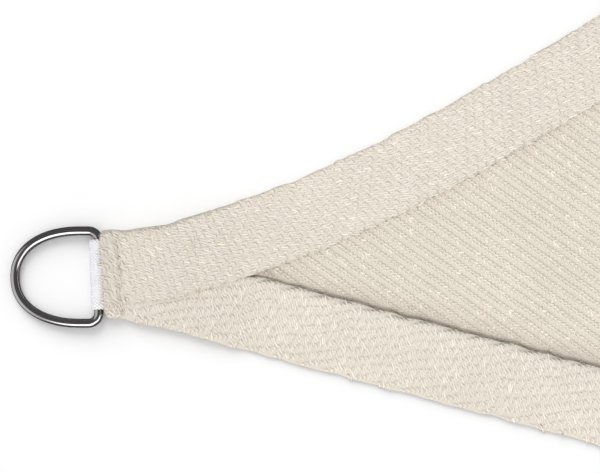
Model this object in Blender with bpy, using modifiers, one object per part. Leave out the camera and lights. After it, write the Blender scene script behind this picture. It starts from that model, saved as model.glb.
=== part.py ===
"""A three-cornered shade sail laid out flat on its underside.

The sail is one knitted cloth whose three edges are turned over as wide hems.  At each
corner the hem that starts there lies over the hem that ends there, and both cover the
tails of a webbing loop that holds a steel D-ring.  The three corners and the three
edges are alike, each turned a third of a circle from the one before.

Metres, +Z up, the floor at z = 0, the middle of the box over the floor as the origin.
"""

import cmath
import math
from collections import namedtuple

import bmesh
import bpy
from mathutils import Matrix, Vector

MM = 0.001

# ---- driving dimensions -------------------------------------------------------------

EDGE_CHORD = 2000 * MM  # straight distance from the cut end of one corner to the next
CUT_END = 47.4 * MM  # width of the cloth where a corner is cut off square
HEM_WIDTH = 41 * MM
CLOTH = 1.2 * MM
GAP = 0.3 * MM  # left between layers that lie on each other
LAYER = CLOTH + GAP

CHORD_ANGLE = math.radians(35)  # from a corner's axis to the edge that starts there
CORNERS = 3

WEBBING_WIDTH = 38 * MM
WEBBING_TAIL = 50 * MM  # how far both ends reach in between the layers of cloth
WEBBING_TURN = math.radians(-1.6)  # the loop sits a little askew in its corner
LOOP_LENGTH = 4.0 * MM  # half the loop round the bar, at the middle of the webbing
LOOP_HEIGHT = 3.4 * MM

WIRE = 5 * MM
RING_BAR = 25.4 * MM  # half the ring's width, at the middle of the wire
RING_BEND = 5.8 * MM  # radius of the two bends beside the bar
RING_WIDEST = 10.2 * MM  # from the bar to where the bow starts
RING_BOW = 36.3 * MM  # how far the bow runs on from there
BOW_ROUNDNESS = 2.2  # 2 would be an ellipse, and more is squarer
RING_TURN = math.radians(-3.3)
RING_ASIDE = -1.5 * MM

BAR_AHEAD = 2.6 * MM  # the bar lies this far outside the cut end of the cloth
FLOOR_CLEARANCE = 0.02 * MM  # the ring's wire only just touches what it lies on
BAR_HEIGHT = LOOP_HEIGHT + CLOTH / 2 + 0.1 * MM

BASE_SET_BACK = 3.0 * MM  # the bottom layer ends short of the loop, the hems cover it
RIM_STRIP = 6 * MM  # the flat middle of the cloth starts this far inside its folds

# The edge as it lies: how far it bows in from the straight chord.
EdgeRow = namedtuple("EdgeRow", "along inward")
EDGE_ROWS = [
    EdgeRow(0, 0),
    EdgeRow(28, 17.8),
    EdgeRow(51, 26.9),
    EdgeRow(102, 44.4),
    EdgeRow(174, 60.6),
    EdgeRow(289, 76.5),
    EdgeRow(480, 93.5),
    EdgeRow(760, 102.5),
    EdgeRow(1060, 94),
    EdgeRow(1390, 70.5),
    EdgeRow(1721, 34.8),
    EdgeRow(1867, 17.6),
    EdgeRow(1940, 9.2),
    EdgeRow(1970, 5.7),
    EdgeRow(2000, 0),
]

# How many layers lie under a hem, at its fold and at its inner edge, for distances in
# millimetres from the cut end.  The webbing lifts both hems, and the loop lifts them
# most at the cut end.
HemRow = namedtuple("HemRow", "distance at_fold at_inner_edge")
STARTING_HEM = [
    HemRow(0, 6.4, 6.4),
    HemRow(8, 4, 4),
    HemRow(58, 4, 4),
    HemRow(74, 1.8, 2.3),
    HemRow(92, 1, 2),
    HemRow(106, 1, 1),
]
ENDING_HEM = [
    HemRow(0, 5.4, 5.4),
    HemRow(8, 3, 3),
    HemRow(58, 3, 3),
    HemRow(74, 1, 1),
    HemRow(90, 1, 1),
    HemRow(115, 1, 2),
    HemRow(600, 1, 2),
    HemRow(900, 1, 1),
]

FIRST_STEP = 5.5 * MM  # sections of an edge stand this close at a corner
STEP_GROWTH = 1 / 8  # and further apart with the distance from it
FOLD_STEPS = 4
FOLD_BULGE = 2.5 * MM  # a tall fold is flattened, and stands out no further than this
HEM_SHARES = (0.0, 0.35, 0.7, 1.0)  # points across a hem, from its fold inwards
STEEP_SECTIONS = 60 * MM  # sections turn from the cut end's line to square in this

COLOURS = {
    "cloth": ((0.76, 0.71, 0.62), 0.85, 0.0),
    "webbing": ((0.80, 0.79, 0.79), 0.75, 0.0),
    "polished steel": ((0.55, 0.54, 0.55), 0.12, 1.0),
}


# ---- the outline --------------------------------------------------------------------
# Points of the plan are complex numbers.  The first corner has its cut end's middle at
# zero and its axis, into the sail, along +X.

ONE_TURN = cmath.rect(1, -math.tau / CORNERS)
START = 1j * CUT_END / 2
END = -1j * CUT_END / 2
CHORD = cmath.rect(1, CHORD_ANGLE)
CENTRE = (START + EDGE_CHORD * CHORD - ONE_TURN * END) / (1 - ONE_TURN)


def at_corner(number, point):
    """A point of the first corner's plan, moved to another corner, about the centre."""
    return ONE_TURN**number * (point - CENTRE)


def smooth_between(rows, x):
    """A cubic through the rows' points, with the slope at each taken from its sides."""
    slopes = []
    for i in range(len(rows)):
        before, after = rows[max(i - 1, 0)], rows[min(i + 1, len(rows) - 1)]
        slopes.append((after[1] - before[1]) / (after[0] - before[0]))
    i = max(j for j in range(len(rows) - 1) if rows[j][0] <= x or j == 0)
    (x0, y0), (x1, y1) = rows[i], rows[i + 1]
    span = x1 - x0
    t = (x - x0) / span
    return (
        y0 * (1 + 2 * t) * (1 - t) ** 2
        + y1 * t * t * (3 - 2 * t)
        + span * t * (1 - t) * (slopes[i] * (1 - t) - slopes[i + 1] * t)
    )


def edge_point(along):
    inward = smooth_between(EDGE_ROWS, along / MM) * MM
    return START + (along - 1j * inward) * CHORD


def layers_under(rows, distance, share):
    """Layers under a hem, between its fold (share 0) and its inner edge (share 1)."""
    distance = min(max(distance / MM, rows[0].distance), rows[-1].distance)
    for near, far in zip(rows, rows[1:]):
        if distance <= far.distance:
            break
    t = (distance - near.distance) / (far.distance - near.distance)
    at_fold = near.at_fold + (far.at_fold - near.at_fold) * t
    at_edge = near.at_inner_edge + (far.at_inner_edge - near.at_inner_edge) * t
    return at_fold + (at_edge - at_fold) * share


def layer_height(layers):
    return CLOTH / 2 + layers * LAYER


def section_places():
    """Distances along the chord, close together at both corners."""
    half = [0.0]
    while half[-1] < EDGE_CHORD / 2:
        half.append(half[-1] + FIRST_STEP + half[-1] * STEP_GROWTH)
    half = [place * EDGE_CHORD / 2 / half[-1] for place in half]
    return half + [EDGE_CHORD - place for place in reversed(half[:-1])]


# ---- the cloth ----------------------------------------------------------------------


def section(along):
    """Points across one place of the first edge: rim, fold, hem, as (plan, height)."""
    step = 0.5 * MM
    ahead = edge_point(min(along + step, EDGE_CHORD))
    behind = edge_point(max(along - step, 0))
    square = -1j * (ahead - behind) / abs(ahead - behind)
    starts_here = along < EDGE_CHORD / 2
    from_corner = along if starts_here else EDGE_CHORD - along
    cut_line = -1j if starts_here else 1j * ONE_TURN
    turned = min(from_corner / STEEP_SECTIONS, 1)
    inward = cut_line * (1 - turned) + square * turned
    inward /= abs(inward)
    inward /= (inward * square.conjugate()).real

    def own_corner(point):
        return point if starts_here else (point - CENTRE) / ONE_TURN + CENTRE

    def hem_height(point, share):
        rows = STARTING_HEM if starts_here else ENDING_HEM
        return layer_height(layers_under(rows, own_corner(point).real, share))

    outline = edge_point(along)
    top = hem_height(outline, 0)
    radius = (top - CLOTH / 2) / 2
    bulge = min(radius, FOLD_BULGE)
    fold = outline + inward * (bulge + CLOTH / 2)
    axis = 1 if starts_here else ONE_TURN
    set_back = axis * BASE_SET_BACK if from_corner == 0 else 0

    points = [(fold + inward * RIM_STRIP + set_back, CLOTH / 2)]
    for i in range(FOLD_STEPS):
        angle = math.pi * i / FOLD_STEPS
        share = i / FOLD_STEPS
        plan = fold - inward * bulge * math.sin(angle) + set_back * (1 - share)
        points.append((plan, CLOTH / 2 + radius * (1 - math.cos(angle))))
    inner_edge = outline + inward * HEM_WIDTH
    for share in HEM_SHARES:
        plan = fold + (inner_edge - fold) * share
        points.append((plan, hem_height(plan, share)))
    return points


def cloth_surface():
    """The middle surface of the whole cloth: a flat middle and three turned hems."""
    shape = bmesh.new()
    flat_middle = []
    sections = [section(along) for along in section_places()]
    for corner in range(CORNERS):
        before = None
        for points in sections:
            row = []
            for plan, height in points:
                place = at_corner(corner, plan)
                row.append(shape.verts.new((place.real, place.imag, height)))
            if before:
                for i in range(len(row) - 1):
                    shape.faces.new((before[i], row[i], row[i + 1], before[i + 1]))
            flat_middle.append(row[0])
            before = row
    shape.faces.new(flat_middle)
    bmesh.ops.recalc_face_normals(shape, faces=shape.faces)
    return shape


# ---- the webbing and the ring -------------------------------------------------------


def webbing_surface():
    """The middle surface of one loop: a tail, round the bar, and a tail back over it."""
    lower_tail, upper_tail = layer_height(1), layer_height(2)
    lower_leave, upper_leave, loop_steps = math.radians(22), math.radians(27), 10
    profile = [(WEBBING_TAIL, lower_tail), (LOOP_LENGTH - 1.7 * MM, lower_tail)]
    first, last = math.pi + math.pi / 2 + lower_leave, math.pi / 2 - upper_leave
    for i in range(loop_steps + 1):
        angle = first + (last - first) * i / loop_steps
        x = -BAR_AHEAD + LOOP_LENGTH * math.cos(angle)
        profile.append((x, BAR_HEIGHT + LOOP_HEIGHT * math.sin(angle)))
    x, height = profile[-1]
    slope = LOOP_HEIGHT / LOOP_LENGTH * math.tan(upper_leave)
    profile.append((x + (height - upper_tail) / slope, upper_tail))
    profile.append((WEBBING_TAIL, upper_tail))

    shape = bmesh.new()
    sides = []
    for y in (-WEBBING_WIDTH / 2, WEBBING_WIDTH / 2):
        sides.append([shape.verts.new((x, y, height)) for x, height in profile])
    for i in range(len(profile) - 1):
        shape.faces.new((sides[0][i], sides[1][i], sides[1][i + 1], sides[0][i + 1]))
    return shape


def bow_point(angle):
    """A point of the ring's bow, in the ring's own plan, with the bar at x = 0."""
    power = 2 / BOW_ROUNDNESS
    along, across = math.sin(angle), math.cos(angle)
    x = -RING_WIDEST - RING_BOW * along**power
    return x, RING_BAR * math.copysign(abs(across) ** power, across)


def ring_centreline(bow_steps=20, bend_steps=4):
    points = []
    for side in (1, -1):
        for i in range(bend_steps + 1):
            angle = math.pi / 2 * i / bend_steps
            along = -RING_BEND + RING_BEND * math.cos(angle)
            across = RING_BAR - RING_BEND + RING_BEND * math.sin(angle)
            points.append((along, side * across))
        if side == 1:
            points += [bow_point(math.pi * i / bow_steps) for i in range(bow_steps + 1)]
            lower_bend = len(points)
    return points[:lower_bend] + points[: lower_bend - 1 : -1]


def ring_curve(name):
    curve = bpy.data.curves.new(name, "CURVE")
    curve.dimensions = "3D"
    curve.bevel_depth = WIRE / 2
    curve.bevel_resolution = 3
    spline = curve.splines.new("POLY")
    points = ring_centreline()
    spline.points.add(len(points) - 1)
    for point, (x, y) in zip(spline.points, points):
        point.co = (x, y, 0, 1)
    spline.use_cyclic_u = True
    return curve


# ---- the objects --------------------------------------------------------------------


def make_material(name):
    colour, roughness, metallic = COLOURS[name]
    material = bpy.data.materials.new(name)
    material.use_nodes = True
    shader = material.node_tree.nodes["Principled BSDF"]
    shader.inputs["Base Color"].default_value = (*colour, 1)
    shader.inputs["Roughness"].default_value = roughness
    shader.inputs["Metallic"].default_value = metallic
    return material


def add_object(name, data, material, parent, collection):
    data.materials.append(material)
    piece = bpy.data.objects.new(name, data)
    piece.parent = parent
    collection.objects.link(piece)
    return piece


def add_sheet(name, shape, material, parent, collection):
    """An open surface as a sheet, half its thickness to each side of the surface."""
    mesh = bpy.data.meshes.new(name)
    shape.to_mesh(mesh)
    shape.free()
    piece = add_object(name, mesh, material, parent, collection)
    solidify = piece.modifiers.new("thickness", "SOLIDIFY")
    solidify.thickness = CLOTH
    solidify.offset = 0
    solidify.use_even_offset = True
    return piece


def plan_matrix(plan, height, turn):
    return Matrix.Translation((plan.real, plan.imag, height)) @ Matrix.Rotation(
        turn, 4, "Z"
    )


def build():
    for thing in list(bpy.data.objects):
        bpy.data.objects.remove(thing)
    sail = bpy.data.collections.new("shade_sail")
    bpy.context.scene.collection.children.link(sail)
    middle = bpy.data.objects.new("sail_middle", None)
    sail.objects.link(middle)
    cloth, webbing, steel = (make_material(name) for name in COLOURS)

    pieces = [add_sheet("sail_cloth", cloth_surface(), cloth, middle, sail)]
    lie_down = math.asin(
        (BAR_HEIGHT - WIRE / 2 - FLOOR_CLEARANCE) / (RING_WIDEST + RING_BOW)
    )
    for corner in range(CORNERS):
        spot = at_corner(corner, -BAR_AHEAD + 1j * RING_ASIDE)
        turn = cmath.phase(ONE_TURN**corner)
        name = f"corner_webbing_{corner + 1}"
        loop = add_sheet(name, webbing_surface(), webbing, middle, sail)
        loop.matrix_local = plan_matrix(at_corner(corner, 0), 0, turn + WEBBING_TURN)
        name = f"corner_ring_{corner + 1}"
        ring = add_object(name, ring_curve(name), steel, middle, sail)
        ring.matrix_local = plan_matrix(
            spot, BAR_HEIGHT, turn + RING_TURN
        ) @ Matrix.Rotation(-lie_down, 4, "Y")
        pieces += [loop, ring]

    bpy.context.view_layer.update()
    graph = bpy.context.evaluated_depsgraph_get()
    low, high = Vector((9, 9)), Vector((-9, -9))
    for piece in pieces:
        evaluated = piece.evaluated_get(graph)
        mesh = evaluated.to_mesh()
        for vertex in mesh.vertices:
            place = evaluated.matrix_world @ vertex.co
            for axis in range(2):
                low[axis] = min(low[axis], place[axis])
                high[axis] = max(high[axis], place[axis])
        evaluated.to_mesh_clear()
    middle.location = (-(low.x + high.x) / 2, -(low.y + high.y) / 2, 0)


build()
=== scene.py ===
# %% [markdown]
# # A triangular shade sail, laid out flat
#
# The real thing is one piece of knitted cloth.  Its three edges are turned over as wide
# hems.  At each corner the two hems cross, and a loop of woven tape sewn between the
# layers holds a steel D-ring.  This lesson starts from the solid model, which fixes every
# size, and gives each piece the surface a maker would know it by.

# %% Load the solid model
import cmath
import math

import bpy
import numpy as np
from mathutils import Matrix, Vector
from mathutils.geometry import delaunay_2d_cdt


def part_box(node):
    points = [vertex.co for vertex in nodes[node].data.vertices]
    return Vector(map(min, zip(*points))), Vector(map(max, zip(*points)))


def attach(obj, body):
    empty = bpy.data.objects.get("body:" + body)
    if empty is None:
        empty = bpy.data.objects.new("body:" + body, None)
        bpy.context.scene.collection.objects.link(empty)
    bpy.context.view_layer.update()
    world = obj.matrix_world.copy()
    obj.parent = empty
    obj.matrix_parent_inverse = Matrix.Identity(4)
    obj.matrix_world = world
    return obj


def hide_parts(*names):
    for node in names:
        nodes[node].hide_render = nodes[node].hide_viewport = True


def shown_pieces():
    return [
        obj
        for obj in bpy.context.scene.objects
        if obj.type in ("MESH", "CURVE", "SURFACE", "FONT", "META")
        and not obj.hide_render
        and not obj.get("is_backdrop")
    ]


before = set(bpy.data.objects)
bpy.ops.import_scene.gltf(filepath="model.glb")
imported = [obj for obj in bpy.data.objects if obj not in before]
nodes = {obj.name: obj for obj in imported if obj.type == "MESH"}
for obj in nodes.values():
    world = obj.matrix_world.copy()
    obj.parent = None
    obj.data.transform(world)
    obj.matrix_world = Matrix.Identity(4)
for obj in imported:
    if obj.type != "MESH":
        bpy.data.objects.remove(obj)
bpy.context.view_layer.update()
print("nodes:", sorted(nodes))

# %% [markdown]
# ## The sizes of the sail
#
# The solid model holds every size, but not how it was drawn, so the few numbers that
# draw it are repeated here in millimetres.  Plans are complex numbers: the first corner
# has its cut end's middle at zero and its axis along +X, and turning a point by a third
# of a circle takes it to the next corner.

# %% Sizes and the outline of one edge
MM = 0.001
EDGE_CHORD = 2000 * MM
CUT_END = 47.4 * MM
HEM_WIDTH = 41 * MM
CLOTH = 1.2 * MM
LAYER = CLOTH + 0.3 * MM
CORNERS = 3
ONE_TURN = cmath.rect(1, -math.tau / CORNERS)
START = 1j * CUT_END / 2
END = -START
CHORD = cmath.rect(1, math.radians(35))
CENTRE = (START + EDGE_CHORD * CHORD - ONE_TURN * END) / (1 - ONE_TURN)

# distance along the chord, and how far the edge bows in from it
EDGE_ROWS = np.array(
    [
        (0, 0),
        (28, 17.8),
        (51, 26.9),
        (102, 44.4),
        (174, 60.6),
        (289, 76.5),
        (480, 93.5),
        (760, 102.5),
        (1060, 94),
        (1390, 70.5),
        (1721, 34.8),
        (1867, 17.6),
        (1940, 9.2),
        (1970, 5.7),
        (2000, 0),
    ]
)


def smooth_through(rows, x):
    """A cubic through the rows' points, with the slope at each taken from its sides."""
    places, values = rows[:, 0], rows[:, 1]
    last = len(rows) - 1
    before = np.maximum(np.arange(last + 1) - 1, 0)
    after = np.minimum(np.arange(last + 1) + 1, last)
    slopes = (values[after] - values[before]) / (places[after] - places[before])
    i = np.clip(np.searchsorted(places, x, side="right") - 1, 0, last - 1)
    span = places[i + 1] - places[i]
    t = (x - places[i]) / span
    return (
        values[i] * (1 + 2 * t) * (1 - t) ** 2
        + values[i + 1] * t * t * (3 - 2 * t)
        + span * t * (1 - t) * (slopes[i] * (1 - t) - slopes[i + 1] * t)
    )


def edge_point(along):
    inward = smooth_through(EDGE_ROWS, along / MM) * MM
    return START + (along - 1j * inward) * CHORD


def middle_of(node):
    points = np.array([v.co for v in nodes[node].data.vertices])
    return complex(points[:, 0].mean(), points[:, 1].mean())


MIDDLE = sum(middle_of(f"corner_ring_{i + 1}") for i in range(CORNERS)) / CORNERS


def at_corner(number, point):
    """A point of the first corner's plan, moved to another corner, in the model."""
    return ONE_TURN**number * (point - CENTRE) + MIDDLE


def from_corner(number, point):
    """A point of the model, in the plan of one corner."""
    return (point - MIDDLE) / ONE_TURN**number + CENTRE


print("first corner at", np.round(np.array([at_corner(0, 0)]) / MM, 1), "mm")

# %% [markdown]
# ## How the layers lie
#
# Where the hems cross over the tape, the pile is four layers high, and it thins out to a
# single turned hem further on.  The tables give the number of layers under each hem at
# its fold and at its inner edge.  The hem that ends at a corner passes under the one that
# starts there, and past the crossing its inner edge stands up a little off the cloth.

# %% Heights of the two hems at a corner
# distance from the cut end, layers under the fold, layers under the inner edge
STARTING_HEM = np.array(
    [
        (0, 6.4, 6.4),
        (8, 4, 4),
        (58, 4, 4),
        (74, 1.8, 2.3),
        (92, 1, 2),
        (106, 1, 1),
        (2000, 1, 1),
    ]
)
ENDING_HEM = np.array(
    [
        (0, 5.4, 5.4),
        (8, 3, 3),
        (58, 3, 3),
        (74, 1, 1),
        (90, 1, 1),
        (115, 1, 2),
        (600, 1, 2),
        (900, 1, 1),
    ]
)
STITCH_ROW = 9.3 * MM  # from the cut end, through all the layers
SECOND_ROW = 51 * MM  # holds down the end of the tape
SEAT = 1.15 * MM  # how deep the first row pulls the hems down
HOLLOW = 0.95 * MM  # half the width of the groove it makes


def hem_height(starts_here, distance, share):
    """Height of a hem's middle surface over the floor, without its folds and waves."""
    heights = []
    for rows in (STARTING_HEM, ENDING_HEM):
        at_fold = np.interp(distance / MM, rows[:, 0], rows[:, 1])
        at_edge = np.interp(distance / MM, rows[:, 0], rows[:, 2])
        heights.append(CLOTH / 2 + LAYER * (at_fold + (at_edge - at_fold) * share))
    return np.where(starts_here, heights[0], heights[1])


def groove(distance, row, width):
    return np.exp(-(((distance - row) / width) ** 2))


def smooth_step(low, high, x):
    t = np.clip((x - low) / (high - low), 0, 1)
    return t * t * (3 - 2 * t)


# %% [markdown]
# Cloth of this size never lies dead flat.  Low waves cross the middle of the sail, from
# the way it was folded and shaken out, and they die away towards the stiff corners.  A
# few sines of different lengths are enough, and every piece that lies on the cloth uses
# the same ones, so nothing floats or sinks.

# %% Waves of the laid cloth
WAVES = (  # length along X and Y in metres, offset, height in millimetres
    (0.61, 0.93, 0.4, 1.5),
    (-0.37, 0.52, 2.1, 1.0),
    (0.29, 0.23, 4.0, 0.55),
    (0.17, -0.41, 1.2, 0.4),
)


def wave_height(place):
    """How far the cloth stands off the floor at a place of the model."""
    height = np.zeros(place.shape)
    for x_length, y_length, offset, size in WAVES:
        phase = math.tau * (place.real / x_length + place.imag / y_length) + offset
        height += size * MM * (1 + np.sin(phase)) / 2
    nearest = np.full(place.shape, 9.0)
    for corner in range(CORNERS):
        nearest = np.minimum(nearest, abs(place - at_corner(corner, 0)))
    return height * smooth_step(0.30, 0.75, nearest)


# %% [markdown]
# ## The cloth as cross-sections
#
# A turned hem is easiest to draw as a row of cross-sections: a strip of the flat cloth,
# round the fold, and back over it to the raw edge.  The same sections also tell where
# each point lay before the hem was turned.  That flat place becomes the piece's UV map,
# so the knit runs round the fold and shows its reverse on the hem, as real cloth does.

# %% Cross-sections of one edge
RIM_STRIP = 6 * MM
FOLD_BULGE = 2.5 * MM
STEEP_SECTIONS = 60 * MM
FOLD_STEPS = 7
HEM_STEPS = 13
BASE_SET_BACK = 3.0 * MM


def section_places():
    """Distances along the chord: a millimetre apart at the corners, then four."""
    near = np.arange(0, 26.5, 1.1) * MM
    far = np.linspace(near[-1], EDGE_CHORD / 2, 244)[1:]
    half = np.concatenate([near, far])
    return np.concatenate([half, EDGE_CHORD - half[-2::-1]])


def puckers(along, seed):
    """Small ins and outs of the fold, where the sewing gathers it."""
    generator = np.random.default_rng(seed)
    ins = np.zeros(along.shape)
    for length, size in ((43, 0.22), (23, 0.2), (17.5, 0.22), (11, 0.14)):
        offset = generator.uniform(0, math.tau)
        ins += size * MM * np.sin(along / MM * math.tau / length + offset)
    return ins


def unit(z):
    return z / abs(z)


def edge_direction(along):
    step = 0.5 * MM
    ahead = edge_point(np.minimum(along + step, EDGE_CHORD))
    behind = edge_point(np.maximum(along - step, 0))
    return unit(ahead - behind)


def eased_direction(along, reach=45 * MM):
    """The edge's direction, averaged over a stretch: the cloth eases round a bend."""
    shifts = np.linspace(-reach, reach, 9)
    around = np.clip(along[:, None] + shifts, 0, EDGE_CHORD)
    return unit(edge_direction(around).sum(1))


def cross_sections(along):
    """For every place along the first edge, the points across it.

    Returns plan and flat place as complex numbers, height, distance from the nearer
    corner's cut end, and whether the place belongs to the hem that starts there."""
    square = -1j * edge_direction(along)
    starts_here = along < EDGE_CHORD / 2
    corner_side = np.where(starts_here, along, EDGE_CHORD - along)
    cut_line = np.where(starts_here, -1j, 1j * ONE_TURN)
    turned = np.minimum(corner_side / STEEP_SECTIONS, 1)
    inward = unit(cut_line * (1 - turned) + square * turned)
    inward = inward / (inward * square.conjugate()).real

    def distance(point):
        other = (point - CENTRE) / ONE_TURN + CENTRE
        return np.maximum(np.where(starts_here, point, other).real, 0)

    outline = edge_point(along) + inward * puckers(along, 5)
    top = hem_height(starts_here, distance(outline), 0)
    radius = (top - CLOTH / 2) / 2
    bulge = np.minimum(radius, FOLD_BULGE)
    fold = outline + inward * (bulge + CLOTH / 2)
    axis = np.where(starts_here, 1, ONE_TURN)
    set_back = axis * BASE_SET_BACK * (corner_side == 0)

    plans = [fold + inward * RIM_STRIP + set_back]
    heights = [np.full(along.shape, CLOTH / 2)]
    for i in range(FOLD_STEPS):
        angle = math.pi * i / FOLD_STEPS
        share = i / FOLD_STEPS
        plans.append(fold - inward * bulge * math.sin(angle) + set_back * (1 - share))
        heights.append(CLOTH / 2 + radius * (1 - math.cos(angle)))
    inner_edge = outline + inward * HEM_WIDTH
    hem_shares = np.linspace(0, 1, HEM_STEPS)
    for share in hem_shares:
        plan = fold + (inner_edge - fold) * share
        place = distance(plan)
        height = hem_height(starts_here, place, share)
        height -= SEAT * groove(place, STITCH_ROW, HOLLOW)
        height -= 0.3 * MM * groove(place, SECOND_ROW, 1.6 * MM)
        plans.append(plan)
        heights.append(height)
    plans = np.stack(plans, 1)
    heights = np.stack(heights, 1)

    lengths = np.hypot(abs(np.diff(plans, axis=1)), np.diff(heights, axis=1))
    run = np.concatenate([np.zeros((len(along), 1)), np.cumsum(lengths, 1)], 1)
    outwards = (eased_direction(along) ** 2 * unit(inward).conjugate())[:, None]
    flats = plans[:, 1:2] + outwards * (run - run[:, 1:2])
    flats[:, 0] = plans[:, 0]
    distances = np.stack([distance(plan) for plan in plans.T], 1)
    return plans, heights, flats, distances, starts_here


ALONG = section_places()
SECTIONS = cross_sections(ALONG)
print("sections along an edge:", len(ALONG), "points across:", SECTIONS[0].shape[1])

# %% [markdown]
# ## Shade in the cloth
#
# Two numbers go with every point of the cloth.  "tone" is how light the cloth is there:
# it is a little darker near each corner, up to about 125 mm from its cut end.  The
# second number is painted shade: it darkens and browns the colour in the creases where
# light hardly reaches, such as beside the inner edge of a hem and in the groove of a
# seam.  Stored with the mesh, they stay put whichever way the sail is seen.

# %% Distances from the hems, and the two numbers
EDGE_SAMPLES = np.linspace(0, EDGE_CHORD, 2001)
INNER_LINE = cross_sections(EDGE_SAMPLES)[0][:, -1]


def past_hem(place, edge):
    """How far a place of the model lies inside the inner edge of one hem, and where."""
    local = (from_corner(edge, place) - START) / CHORD
    line = (INNER_LINE - START) / CHORD
    order = np.argsort(line.real)
    level = np.interp(local.real, line.real[order], line.imag[order])
    slope = np.interp(
        local.real, EDGE_SAMPLES, np.gradient(line.imag[order], EDGE_SAMPLES)
    )
    return (level - local.imag) / np.hypot(1, slope), local.real


def corner_tone(distance):
    return 0.945 + 0.055 * smooth_step(8 * MM, 125 * MM, distance)


def panel_shade(place):
    """(tone, painted crease shade) for the flat middle of the sail."""
    tone = np.ones(place.shape)
    deep = np.zeros(place.shape)
    for edge in range(CORNERS):
        past, along = past_hem(place, edge)
        tone = np.minimum(tone, corner_tone(from_corner(edge, place).real))
        raised = smooth_step(900, 1250, along / MM)
        near = 0.25 + 0.75 * raised
        # painted shade beside the inner edge of each hem, stronger and wider along the ending
        # half, where the hem's edge stands off the cloth
        shade = near * np.exp(-np.maximum(past, 0) / (2.2 * MM + 1.2 * MM * raised))
        deep = np.maximum(deep, shade * (past > -8 * MM))
    return tone, deep


# %% [markdown]
# ## The laid cloth as one mesh
#
# The three hems are strips of quads between the sections.  The flat middle is filled
# with triangles from a grid of points, tied to the rims of the strips, so the waves have
# enough points to bend at.  Solidify then gives the sheet its thickness, on both sides.

# %% Build the cloth
GRID = 13 * MM
RIM, FOLD_START = 0, 1
FIRST_HEM = 1 + FOLD_STEPS


def new_piece(name, points, faces, material=None):
    mesh = bpy.data.meshes.new(name)
    mesh.from_pydata([tuple(p) for p in points], [], [tuple(f) for f in faces])
    mesh.update()
    if material:
        mesh.materials.append(material)
    piece = bpy.data.objects.new(name, mesh)
    bpy.context.scene.collection.objects.link(piece)
    return piece


def give_numbers(piece, **numbers):
    for name, values in numbers.items():
        attribute = piece.data.attributes.new(name, "FLOAT", "POINT")
        attribute.data.foreach_set("value", np.asarray(values, np.float32).ravel())


def give_flat_map(piece, flats):
    """A UV map that says where each point lay, in metres, when the cloth was flat."""
    layer = piece.data.uv_layers.new(name="flat_cloth")
    corners = np.empty(len(piece.data.loops), np.int32)
    piece.data.loops.foreach_get("vertex_index", corners)
    places = flats[corners]
    layer.data.foreach_set("uv", np.stack([places.real, places.imag], 1).ravel())


def strip_faces(rows, columns, first=0):
    faces = []
    for i in range(rows - 1):
        for j in range(columns - 1):
            a = first + i * columns + j
            faces.append((a, a + columns, a + columns + 1, a + 1))
    return faces


def edge_strip(edge):
    """Places, heights, flat places, tone, painted crease shade and bare of one edge's strip."""
    plans, heights, flats, distances, starts_here = SECTIONS
    places = at_corner(edge, plans)
    heights = heights + wave_height(places)
    tone = corner_tone(distances)
    # painted shade in the grooves of the two stitch rows, on the hem's part of the strip only
    seam = groove(distances, STITCH_ROW, HOLLOW * 0.8)
    seam = np.maximum(seam, 0.35 * groove(distances, SECOND_ROW, 1.2 * MM))
    deep = seam * (np.arange(plans.shape[1]) >= FIRST_HEM)
    crossing = at_corner(edge, plans) if edge == 0 else at_corner(0, plans)
    past, _ = past_hem_covering(crossing)
    bare = np.where(starts_here[:, None], 1.0, (past > 0.5 * MM) * 1.0)
    bare[:, : FOLD_START + 6] = (0, 0, 0, 0, 0, 0.3, 0.6)
    bare[:, -1] = 0.5
    return places, heights, at_corner(edge, flats), tone, deep, bare


def past_hem_covering(place):
    """How far a point of the first edge's ending hem lies inside the hem over it."""
    return past_hem(place, 1)


EDGES = [edge_strip(edge) for edge in range(CORNERS)]


def flat_middle(first):
    """Triangles that fill the cloth inside the rims of the strips."""
    rows, columns = SECTIONS[0].shape
    rims = np.concatenate([strip[0][:, RIM] for strip in EDGES])
    rim_index = np.concatenate(
        [edge * rows * columns + np.arange(rows) * columns for edge in range(CORNERS)]
    )
    low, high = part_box("sail_cloth")
    xs = np.arange(low.x, high.x, GRID)
    ys = np.arange(low.y, high.y, GRID)
    grid = (xs[:, None] + 1j * ys[None, :]).ravel()
    inside = np.ones(grid.shape, bool)
    for edge in range(CORNERS):
        past, _ = past_hem(grid, edge)
        inside &= past > GRID * 0.6 - HEM_WIDTH + 10 * MM
        inside &= from_corner(edge, grid).real > 16 * MM
    grid = grid[inside]
    points = np.concatenate([rims, grid])
    made = delaunay_2d_cdt(
        [Vector((p.real, p.imag)) for p in points], [], [list(range(len(rims)))], 1, 1e-7
    )
    flat, faces, origins = made[0], made[2], made[3]
    assert len(flat) == len(points)
    index = np.empty(len(flat), int)
    for i, origin in enumerate(origins):
        o = origin[0]
        index[i] = rim_index[o] if o < len(rims) else first + o - len(rims)
    return grid, [[index[v] for v in face] for face in faces]


def joined(column):
    return np.concatenate([strip[column].ravel() for strip in EDGES])


rows, columns = SECTIONS[0].shape
strip_size = rows * columns
grid, middle_faces = flat_middle(CORNERS * strip_size)
grid_tone, grid_deep = panel_shade(grid)
places = np.concatenate([joined(0), grid])
heights = np.concatenate([joined(1), CLOTH / 2 + wave_height(grid)])
flats = np.concatenate([joined(2), grid])
faces = [f for e in range(CORNERS) for f in strip_faces(rows, columns, e * strip_size)]
points = np.stack([places.real, places.imag, heights], 1)
cloth = new_piece("laid_cloth", points, faces + middle_faces)
give_flat_map(cloth, flats)
give_numbers(
    cloth,
    tone=np.concatenate([joined(3), grid_tone]),
    deep=np.concatenate([joined(4), grid_deep]),
)
print("cloth:", len(points), "points,", len(cloth.data.polygons), "faces")

# %% [markdown]
# ## Node trees from short calls
#
# Every finish and every repeated detail below is a tree of nodes.  One helper adds a
# node and fills its sockets: a value is set on the socket, and another node's output is
# linked to it.

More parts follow.
